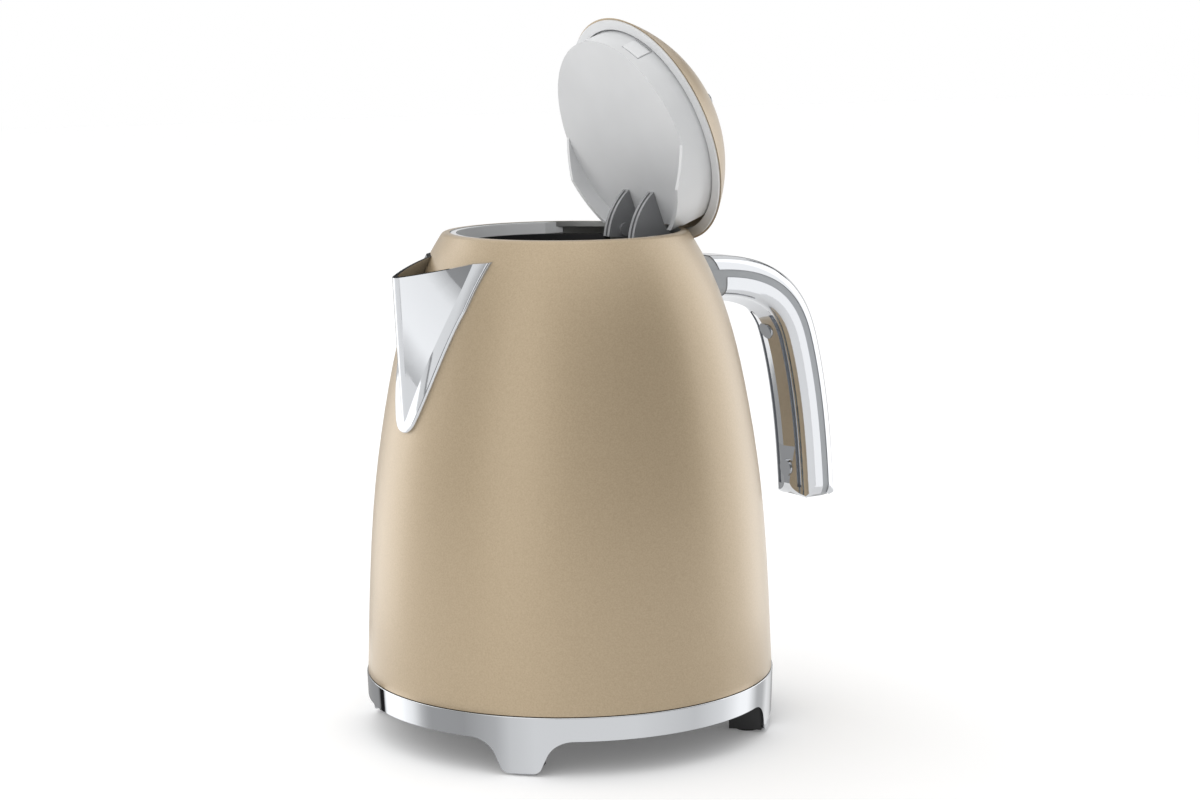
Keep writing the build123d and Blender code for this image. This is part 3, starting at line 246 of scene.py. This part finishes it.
def bright_chrome(look):
    """Chrome plate on polished zinc and steel: a mirror with a faint uneven haze from wiping."""
    material, tree = start_material("bright_chrome")
    place = add(tree, "ShaderNodeTexCoord").outputs["Object"]
    haze = add(tree, "ShaderNodeTexNoise", {"Vector": place, "Scale": per_mm(14), "Detail": 3.0})
    rough = add(tree, "ShaderNodeMapRange", {"Value": haze.outputs["Fac"], "To Min": 0.035, "To Max": 0.075})
    wave = add(tree, "ShaderNodeTexNoise", {"Vector": place, "Scale": per_mm(9), "Detail": 0.0})
    bump = add(tree, "ShaderNodeBump", {"Height": wave.outputs["Fac"], "Strength": 0.012, "Distance": 0.0005})
    shader = add(tree, "ShaderNodeBsdfPrincipled", {
        "Base Color": rgba(look.chrome), "Metallic": 1.0, "Roughness": rough.outputs[0],
        "Normal": bump.outputs[0]})
    add(tree, "ShaderNodeOutputMaterial", {"Surface": shader.outputs[0]})
    return material


def brushed_stainless(look):
    """Stainless steel with a fine upright brush, about half a millimetre between lines so that they show."""
    material, tree = start_material("brushed_stainless")
    place = add(tree, "ShaderNodeTexCoord").outputs["Object"]
    stretch = add(tree, "ShaderNodeMapping", {
        "Vector": place, "Scale": (per_mm(0.5), per_mm(0.5), per_mm(14))})
    lines = add(tree, "ShaderNodeTexNoise", {"Vector": stretch.outputs[0], "Scale": 1.0, "Detail": 2.0})
    rough = add(tree, "ShaderNodeMapRange", {"Value": lines.outputs["Fac"], "To Min": 0.22, "To Max": 0.40})
    bump = add(tree, "ShaderNodeBump", {"Height": lines.outputs["Fac"], "Strength": 0.08, "Distance": 0.0001})
    shader = add(tree, "ShaderNodeBsdfPrincipled", {
        "Base Color": rgba(look.steel), "Metallic": 1.0, "Roughness": rough.outputs[0],
        "Normal": bump.outputs[0]})
    add(tree, "ShaderNodeOutputMaterial", {"Surface": shader.outputs[0]})
    return material


def moulded_abs(name, colour, rough_low, rough_high, grain):
    """Injection-moulded ABS with the fine spark grain of its tool and a slight drift of shade."""
    material, tree = start_material(name)
    place = add(tree, "ShaderNodeTexCoord").outputs["Object"]
    drift = add(tree, "ShaderNodeTexNoise", {"Vector": place, "Scale": per_mm(25), "Detail": 2.0})
    lift = add(tree, "ShaderNodeMapRange", {"Value": drift.outputs["Fac"], "To Min": 0.93, "To Max": 1.07})
    shade = add(tree, "ShaderNodeVectorMath", {0: colour, 3: lift.outputs[0]}, operation="SCALE")
    spark = add(tree, "ShaderNodeTexNoise", {"Vector": place, "Scale": per_mm(grain), "Detail": 3.0})
    rough = add(tree, "ShaderNodeMapRange", {
        "Value": spark.outputs["Fac"], "To Min": rough_low, "To Max": rough_high})
    bump = add(tree, "ShaderNodeBump", {"Height": spark.outputs["Fac"], "Strength": 0.10, "Distance": 0.0001})
    shader = add(tree, "ShaderNodeBsdfPrincipled", {
        "Base Color": shade.outputs[0], "Roughness": rough.outputs[0], "IOR": 1.54,
        "Normal": bump.outputs[0]})
    add(tree, "ShaderNodeOutputMaterial", {"Surface": shader.outputs[0]})
    return material


def collar_lip_over_painted_shade(look, lip_z):
    """Collar with a pale satin lip; below the lip it is painted black down inside the mouth, as painted shade
    of the mouth's dark inside.
    """
    material, tree = start_material("collar_lip_over_painted_shade")
    place = add(tree, "ShaderNodeTexCoord").outputs["Object"]
    height = add(tree, "ShaderNodeSeparateXYZ", {0: place}).outputs["Z"]
    lip = add(tree, "ShaderNodeMapRange", {"Value": height, "From Min": lip_z - LIP_BLEND, "From Max": lip_z})
    # black below the lip is painted shade of the dark inside of the mouth
    shade = add(tree, "ShaderNodeMix", {0: lip.outputs[0], 6: rgba(look.black), 7: rgba(look.collar_grey)},
                data_type="RGBA")
    spark = add(tree, "ShaderNodeTexNoise", {"Vector": place, "Scale": per_mm(0.7), "Detail": 3.0})
    rough = add(tree, "ShaderNodeMapRange", {"Value": spark.outputs["Fac"], "To Min": 0.25, "To Max": 0.4})
    bump = add(tree, "ShaderNodeBump", {"Height": spark.outputs["Fac"], "Strength": 0.08, "Distance": 0.0001})
    shader = add(tree, "ShaderNodeBsdfPrincipled", {
        "Base Color": shade.outputs[2], "Roughness": rough.outputs[0], "IOR": 1.54,
        "Normal": bump.outputs[0]})
    add(tree, "ShaderNodeOutputMaterial", {"Surface": shader.outputs[0]})
    return material


def soft_rubber(look):
    """Moulded silicone rubber, matt and faintly dusty."""
    material, tree = start_material("soft_rubber")
    place = add(tree, "ShaderNodeTexCoord").outputs["Object"]
    dust = add(tree, "ShaderNodeTexNoise", {"Vector": place, "Scale": per_mm(3), "Detail": 4.0})
    lift = add(tree, "ShaderNodeMapRange", {"Value": dust.outputs["Fac"], "To Min": 0.8, "To Max": 1.4})
    shade = add(tree, "ShaderNodeVectorMath", {0: look.rubber, 3: lift.outputs[0]}, operation="SCALE")
    bump = add(tree, "ShaderNodeBump", {"Height": dust.outputs["Fac"], "Strength": 0.15, "Distance": 0.0002})
    shader = add(tree, "ShaderNodeBsdfPrincipled", {
        "Base Color": shade.outputs[0], "Roughness": 0.75, "IOR": 1.41, "Normal": bump.outputs[0]})
    add(tree, "ShaderNodeOutputMaterial", {"Surface": shader.outputs[0]})
    return material


def pressed_brass(look):
    """Pressed brass strip, bright with dull tarnish in patches."""
    material, tree = start_material("pressed_brass")
    place = add(tree, "ShaderNodeTexCoord").outputs["Object"]
    tarnish = add(tree, "ShaderNodeTexNoise", {"Vector": place, "Scale": per_mm(4), "Detail": 3.0})
    lift = add(tree, "ShaderNodeMapRange", {"Value": tarnish.outputs["Fac"], "To Min": 0.75, "To Max": 1.05})
    shade = add(tree, "ShaderNodeVectorMath", {0: look.brass, 3: lift.outputs[0]}, operation="SCALE")
    rough = add(tree, "ShaderNodeMapRange", {"Value": tarnish.outputs["Fac"], "To Min": 0.35, "To Max": 0.18})
    shader = add(tree, "ShaderNodeBsdfPrincipled", {
        "Base Color": shade.outputs[0], "Metallic": 1.0, "Roughness": rough.outputs[0]})
    add(tree, "ShaderNodeOutputMaterial", {"Surface": shader.outputs[0]})
    return material


def clear_acrylic(look):
    """Clear moulded copolyester of the level window, a little cloudy from scale."""
    material, tree = start_material("clear_acrylic")
    place = add(tree, "ShaderNodeTexCoord").outputs["Object"]
    scale = add(tree, "ShaderNodeTexNoise", {"Vector": place, "Scale": per_mm(6), "Detail": 4.0})
    rough = add(tree, "ShaderNodeMapRange", {"Value": scale.outputs["Fac"], "To Min": 0.04, "To Max": 0.22})
    shader = add(tree, "ShaderNodeBsdfPrincipled", {
        "Base Color": rgba(look.clear), "Roughness": rough.outputs[0], "IOR": 1.49,
        "Transmission Weight": 0.85})
    add(tree, "ShaderNodeOutputMaterial", {"Surface": shader.outputs[0]})
    return material


def wire_sleeve():
    """Silicone wire sleeves, brown, green and blue side by side."""
    material, tree = start_material("wire_sleeve")
    place = add(tree, "ShaderNodeTexCoord").outputs["Object"]
    across = add(tree, "ShaderNodeSeparateXYZ", {0: place}).outputs["Y"]
    left = add(tree, "ShaderNodeMath", {0: across, 1: -WIRE_HALF}, operation="LESS_THAN").outputs[0]
    right = add(tree, "ShaderNodeMath", {0: across, 1: WIRE_HALF}, operation="GREATER_THAN").outputs[0]
    first = add(tree, "ShaderNodeMix", {0: left, 6: rgba(linear("#5E8A3A")), 7: rgba(linear("#5A3420"))},
                data_type="RGBA")
    both = add(tree, "ShaderNodeMix", {0: right, 6: first.outputs[2], 7: rgba(linear("#2C4F86"))},
               data_type="RGBA")
    shader = add(tree, "ShaderNodeBsdfPrincipled", {"Base Color": both.outputs[2], "Roughness": 0.45})
    add(tree, "ShaderNodeOutputMaterial", {"Surface": shader.outputs[0]})
    return material


def print_and_painted_shade():
    """Pad-printed ink on the window, dark and even with slightly broken edges; the same dark colour is also
    the painted shade of the screws' cross drives.
    """
    material, tree = start_material("print_and_painted_shade")
    place = add(tree, "ShaderNodeTexCoord").outputs["Object"]
    grain = add(tree, "ShaderNodeTexNoise", {"Vector": place, "Scale": per_mm(0.5), "Detail": 2.0})
    rough = add(tree, "ShaderNodeMapRange", {"Value": grain.outputs["Fac"], "To Min": 0.4, "To Max": 0.7})
    shader = add(tree, "ShaderNodeBsdfPrincipled", {
        "Base Color": rgba(linear("#2A2B2D")), "Roughness": rough.outputs[0]})
    add(tree, "ShaderNodeOutputMaterial", {"Surface": shader.outputs[0]})
    return material


def surface_point(name, start, direction):
    """Where a straight line meets a CAD node, and the outward normal there."""
    hit, at, normal, _ = NODES[name].ray_cast(Vector(start), Vector(direction))
    if not hit:
        raise RuntimeError(f"no surface of {name} along that line")
    return at, normal


def solid_boxes(name):
    """Lower and upper corner of the box round each separate solid of a CAD node."""
    shape = bmesh.new()
    shape.from_mesh(NODES[name].data)
    bmesh.ops.remove_doubles(shape, verts=shape.verts, dist=MELT)
    left = set(shape.verts)
    boxes = []
    while left:
        found = [left.pop()]
        for vertex in found:
            for edge in vertex.link_edges:
                other = edge.other_vert(vertex)
                if other in left:
                    left.remove(other)
                    found.append(other)
        spots = [vertex.co for vertex in found]
        boxes.append([Vector([pick(spot[i] for spot in spots) for i in range(3)]) for pick in (min, max)])
    shape.free()
    return boxes


def finish_piece(name, shape, body, material):
    """Makes a piece from a bmesh and lets it ride on a body."""
    mesh = bpy.data.meshes.new(name)
    bmesh.ops.recalc_face_normals(shape, faces=shape.faces)
    shape.to_mesh(mesh)
    shape.free()
    mesh.materials.append(material)
    piece = bpy.data.objects.new(name, mesh)
    bpy.context.scene.collection.objects.link(piece)
    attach(piece, body)
    return piece


# Pieces


class KETTLE_OT_body(bpy.types.Operator):
    """Lacquers the body and the lid's dome"""
    bl_idname = "kettle.body"
    bl_label = "Body and dome"

    def execute(self, context):
        look = context.scene.kettle_finishes
        wear(["body_shell"], champagne_lacquer(look, True))
        wear(["lid_cover"], champagne_lacquer(look, False))
        return {"FINISHED"}


class KETTLE_OT_bright_parts(bpy.types.Operator):
    """Plates the spout, handle, base ring, knob and switch"""
    bl_idname = "kettle.bright_parts"
    bl_label = "Bright parts"

    def execute(self, context):
        look = context.scene.kettle_finishes
        wear(["base_ring", "spout", "handle_outer_shell", "handle_inner_shell", "lid_knob", "switch_housing",
              "switch_lever", "screw_caps"], bright_chrome(look))
        wear(["filter_mesh", "hinge_pin", "lid_spring", "heating_plate", "heating_element", "bottom_screws",
              "base_screws", "steam_tube", "switch_pin", "handle_screws", "handle_bracket", "bracket_screws",
              "knob_screw"], brushed_stainless(look))
        wear(["connector_contacts", "socket_contacts"], pressed_brass(look))
        return {"FINISHED"}


class KETTLE_OT_mouldings(bpy.types.Operator):
    """Gives the moulded pieces their plastics and rubber"""
    bl_idname = "kettle.mouldings"
    bl_label = "Mouldings"

    def execute(self, context):
        look = context.scene.kettle_finishes
        sizes = context.scene.kettle_details
        wear(["lid_ring", "lid_catch_left", "lid_catch_right"],
             moulded_abs("pale_abs", look.pale_grey, 0.25, 0.35, 0.8))
        wear(["lid_liner", "filter_frame"], moulded_abs("liner_abs", look.liner_grey, 0.26, 0.36, 0.8))
        # the collar is black below the lip as painted shade of the mouth's inside
        wear(["mouth_collar"], collar_lip_over_painted_shade(look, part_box("mouth_collar")[1].z - sizes.lip))
        wear(["hinge_arm_left", "hinge_arm_right", "filter_guides", "window_frame"],
             moulded_abs("dark_abs", look.dark_grey, 0.25, 0.38, 0.7))
        wear(["handle_core"], moulded_abs("seam_abs", look.seam_grey, 0.35, 0.48, 0.6))
        wear(["base_tray", "base_deck", "base_connector", "connector_socket", "control_block",
              "bottom_cover"], moulded_abs("black_abs", look.black, 0.38, 0.55, 0.7))
        wear(["foot_pads", "cord_gland", "plate_seal"], soft_rubber(look))
        wear(["level_window"], clear_acrylic(look))
        wear(["base_wires"], wire_sleeve())
        return {"FINISHED"}


class KETTLE_OT_level_marks(bpy.types.Operator):
    """Prints level lines on the outside of the window"""
    bl_idname = "kettle.level_marks"
    bl_label = "Level marks"

    def execute(self, context):
        sizes = context.scene.kettle_details
        low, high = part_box("level_window")
        shape = bmesh.new()
        margin = (high.z - low.z) * sizes.mark_margin
        for step in range(sizes.mark_count):
            z = low.z + margin + (high.z - low.z - 2 * margin) * step / (sizes.mark_count - 1)
            width = sizes.mark_long if step % 2 == 0 else sizes.mark_short
            at, normal = surface_point("level_window", (high.x + OUTSIDE, 0, z), (-1, 0, 0))
            turn = normal.to_track_quat("Z", "Y").to_matrix().to_4x4()
            made = bmesh.ops.create_cube(shape, size=1.0)["verts"]
            bmesh.ops.scale(shape, vec=(width, sizes.mark_thick, sizes.mark_relief), verts=made)
            bmesh.ops.rotate(shape, cent=(0, 0, 0), matrix=turn, verts=made)
            bmesh.ops.translate(shape, vec=at, verts=made)
        finish_piece("level_marks", shape, "kettle", print_and_painted_shade())
        return {"FINISHED"}


class KETTLE_OT_screw_drive_shade(bpy.types.Operator):
    """Draws the cross drive in each screw head under the base and under the kettle as a thin dark cross,
    painted shade for the recess
    """
    bl_idname = "kettle.screw_drives"
    bl_label = "Screw drive shade"

    def execute(self, context):
        sizes = context.scene.kettle_details
        arm, half, deep = sizes.drive_long / 2, sizes.drive_wide / 2, sizes.drive_deep
        corner = [(arm, -half), (arm, half), (half, half)]
        # the dark cross stands in for the recessed drive: painted shade, in the ink colour
        ink = print_and_painted_shade()
        for name, node, body in (("base_screw_drive_shade", "base_screws", "base"),
                                 ("bottom_screw_drive_shade", "bottom_screws", "kettle")):
            shape = bmesh.new()
            for low, high in solid_boxes(node):
                middle = Vector(((low.x + high.x) / 2, (low.y + high.y) / 2, low.z - deep))
                ring = []
                for quarter in range(4):
                    turn = Matrix.Rotation(math.radians(90 * quarter), 3, "Z")
                    ring += [shape.verts.new(middle + turn @ Vector((x, y, 0))) for x, y in corner]
                face = shape.faces.new(ring)
                raised = bmesh.ops.extrude_face_region(shape, geom=[face])["geom"]
                tops = [part for part in raised if isinstance(part, bmesh.types.BMVert)]
                bmesh.ops.translate(shape, vec=(0, 0, 2 * deep), verts=tops)
            finish_piece(name, shape, body, ink)
        return {"FINISHED"}


# Stage


class KETTLE_OT_stage(bpy.types.Operator):
    """Sets the floor, the studio light and the camera"""
    bl_idname = "kettle.stage"
    bl_label = "Stage"

    def execute(self, context):
        studio = context.scene.kettle_studio
        self.floor(context, studio)
        self.screens(context, studio)
        self.lamps(context, studio)
        self.world(context, studio)
        self.camera(context, studio)
        context.scene.view_settings.view_transform = "Standard"
        return {"FINISHED"}

    def panel(self, context, name, shape, material):
        mesh = bpy.data.meshes.new(name)
        shape.to_mesh(mesh)
        shape.free()
        mesh.materials.append(material)
        thing = bpy.data.objects.new(name, mesh)
        context.scene.collection.objects.link(thing)
        return thing

    def seen(self, tree):
        """One for rays that show the surroundings, nought for rays that light the object."""
        path = add(tree, "ShaderNodeLightPath").outputs
        mirror = add(tree, "ShaderNodeMath", {0: path["Is Camera Ray"], 1: path["Is Glossy Ray"]},
                     operation="MAXIMUM")
        return add(tree, "ShaderNodeMath", {0: mirror.outputs[0], 1: path["Is Transmission Ray"]},
                   operation="MAXIMUM").outputs[0]

    def floor(self, context, studio):
        shape = bmesh.new()
        bmesh.ops.create_grid(shape, x_segments=1, y_segments=1, size=FLOOR_HALF)
        material, tree = start_material("studio_floor")
        paint = add(tree, "ShaderNodeBsdfDiffuse", {"Color": rgba(linear("#F8F8F8"))})
        lift = add(tree, "ShaderNodeMath", {0: self.seen(tree), 1: studio.floor_glow}, operation="MULTIPLY")
        glow = add(tree, "ShaderNodeEmission", {"Color": rgba((1, 1, 1)), "Strength": lift.outputs[0]})
        both = add(tree, "ShaderNodeAddShader", {0: paint.outputs[0], 1: glow.outputs[0]})
        add(tree, "ShaderNodeOutputMaterial", {"Surface": both.outputs[0]})
        self.panel(context, "studio_floor", shape, material)

    def screens(self, context, studio):
        """Cards round the kettle: grey and white ones in front, dark and pale ones behind, and a shaded
        strip on the floor round the base."""
        for name, away, low, high, brightness, shares in CARDS:
            first, last = shares[0][0], shares[-1][0]
            middle = (first + last) / 2
            shape = bmesh.new()
            ends = [shape.verts.new((0, -away, z)) for z in (low, high)]
            edge = shape.edges.new(ends)
            start = Matrix.Rotation(studio.turn + math.radians(first), 4, "Z")
            bmesh.ops.transform(shape, matrix=start, verts=ends)
            bmesh.ops.spin(shape, geom=[*ends, edge], cent=(0, 0, 0), axis=(0, 0, 1),
                           angle=math.radians(last - first), steps=CARD_STEPS)
            material, tree = start_material(name)
            place = add(tree, "ShaderNodeTexCoord").outputs["Object"]
            back = math.radians(90 - middle) - studio.turn
            turned = add(tree, "ShaderNodeMapping", {"Vector": place, "Rotation": (0, 0, back)})
            angle = add(tree, "ShaderNodeTexGradient", {"Vector": turned.outputs[0]}, gradient_type="RADIAL")
            ramp = add(tree, "ShaderNodeValToRGB", {"Fac": angle.outputs["Fac"]})
            stops = ramp.color_ramp.elements
            for side, share in shares:
                stops.new(0.5 + (side - middle) / 360).color = rgba((share, share, share))
            stops.remove(stops[0])
            stops.remove(stops[-1])
            glow = add(tree, "ShaderNodeEmission", {
                "Color": ramp.outputs["Color"], "Strength": getattr(studio, brightness)})
            add(tree, "ShaderNodeOutputMaterial", {"Surface": glow.outputs[0]})
            card = self.panel(context, name, shape, material)
            card.visible_camera = False
            card.visible_diffuse = False
            card.visible_shadow = False
            card.visible_transmission = False

    def lamps(self, context, studio):
        """Two soft boxes behind the kettle that light its edges and a weak one overhead."""
        for name, side, away, height, size, power in LAMPS:
            lamp = bpy.data.lights.new(name, "AREA")
            lamp.shape = "SQUARE"
            lamp.size = size
            lamp.energy = power
            thing = bpy.data.objects.new(name, lamp)
            turn = studio.turn + math.radians(side)
            thing.location = (away * math.sin(turn), -away * math.cos(turn), height)
            aim = LAMP_AIM - thing.location
            thing.rotation_euler = aim.to_track_quat("-Z", "Y").to_euler()
            context.scene.collection.objects.link(thing)

    def world(self, context, studio):
        world = bpy.data.worlds.new("studio_air")
        world.use_nodes = True
        tree = world.node_tree
        tree.nodes.clear()
        right = (math.cos(studio.turn), math.sin(studio.turn), 0)
        towards = add(tree, "ShaderNodeTexCoord").outputs["Generated"]
        side = add(tree, "ShaderNodeVectorMath", {0: towards, 1: right}, operation="DOT_PRODUCT")
        air = add(tree, "ShaderNodeMapRange", {
            "Value": side.outputs["Value"], "From Min": -1.0, "From Max": 1.0,
            "To Min": studio.ambient + studio.lean, "To Max": studio.ambient - studio.lean})
        level = add(tree, "ShaderNodeMapRange", {
            "Value": self.seen(tree), "To Min": air.outputs[0], "To Max": 1.0})
        glow = add(tree, "ShaderNodeBackground", {"Color": rgba((1, 1, 1)), "Strength": level.outputs[0]})
        add(tree, "ShaderNodeOutputWorld", {"Surface": glow.outputs[0]})
        context.scene.world = world

    def camera(self, context, studio):
        data = bpy.data.cameras.new("main_camera")
        data.sensor_width = 36.0
        data.lens = studio.lens
        data.clip_start = 0.01
        data.clip_end = 50.0
        camera = bpy.data.objects.new("main_camera", data)
        yaw, pitch, roll = studio.yaw, studio.pitch, studio.roll
        ahead = Vector((math.sin(yaw) * math.cos(pitch), math.cos(yaw) * math.cos(pitch), -math.sin(pitch)))
        right = Vector((math.cos(yaw), -math.sin(yaw), 0))
        up = right.cross(ahead)
        c, s = math.cos(roll), math.sin(roll)
        right, up = c * right + s * up, c * up - s * right
        turn = Matrix.Rotation(studio.turn, 3, "Z")
        axes = Matrix((turn @ right, turn @ up, turn @ -ahead)).transposed()
        camera.matrix_world = Matrix.Translation(studio.eye) @ axes.to_4x4()
        context.scene.collection.objects.link(camera)
        context.scene.camera = camera


class KETTLE_PT_panel(bpy.types.Panel):
    """Lists the kettle's finishes, details and stage"""
    bl_idname = "KETTLE_PT_panel"
    bl_label = "Kettle"
    bl_space_type = "VIEW_3D"
    bl_region_type = "UI"
    bl_category = "Kettle"

    def draw(self, context):
        scene = context.scene
        for group in (scene.kettle_finishes, scene.kettle_details, scene.kettle_studio):
            column = self.layout.column(align=True)
            for name in group.__annotations__:
                column.prop(group, name)
        for operator in OPERATORS:
            self.layout.operator(operator.bl_idname)


GROUPS = (KettleFinishes, KettleDetails, KettleStudio)
OPERATORS = (KETTLE_OT_body, KETTLE_OT_bright_parts, KETTLE_OT_mouldings, KETTLE_OT_level_marks,
             KETTLE_OT_screw_drive_shade, KETTLE_OT_stage)


def register():
    for cls in (*GROUPS, *OPERATORS, KETTLE_PT_panel):
        bpy.utils.register_class(cls)
    bpy.types.Scene.kettle_finishes = PointerProperty(type=KettleFinishes)
    bpy.types.Scene.kettle_details = PointerProperty(type=KettleDetails)
    bpy.types.Scene.kettle_studio = PointerProperty(type=KettleStudio)


def unregister():
    del bpy.types.Scene.kettle_studio
    del bpy.types.Scene.kettle_details
    del bpy.types.Scene.kettle_finishes
    for cls in reversed((*GROUPS, *OPERATORS, KETTLE_PT_panel)):
        bpy.utils.unregister_class(cls)


def main():
    register()
    bpy.ops.kettle.body()
    bpy.ops.kettle.bright_parts()
    bpy.ops.kettle.mouldings()
    bpy.ops.kettle.level_marks()
    bpy.ops.kettle.screw_drives()
    bpy.ops.kettle.stage()


if __name__ == "__main__":
    main()
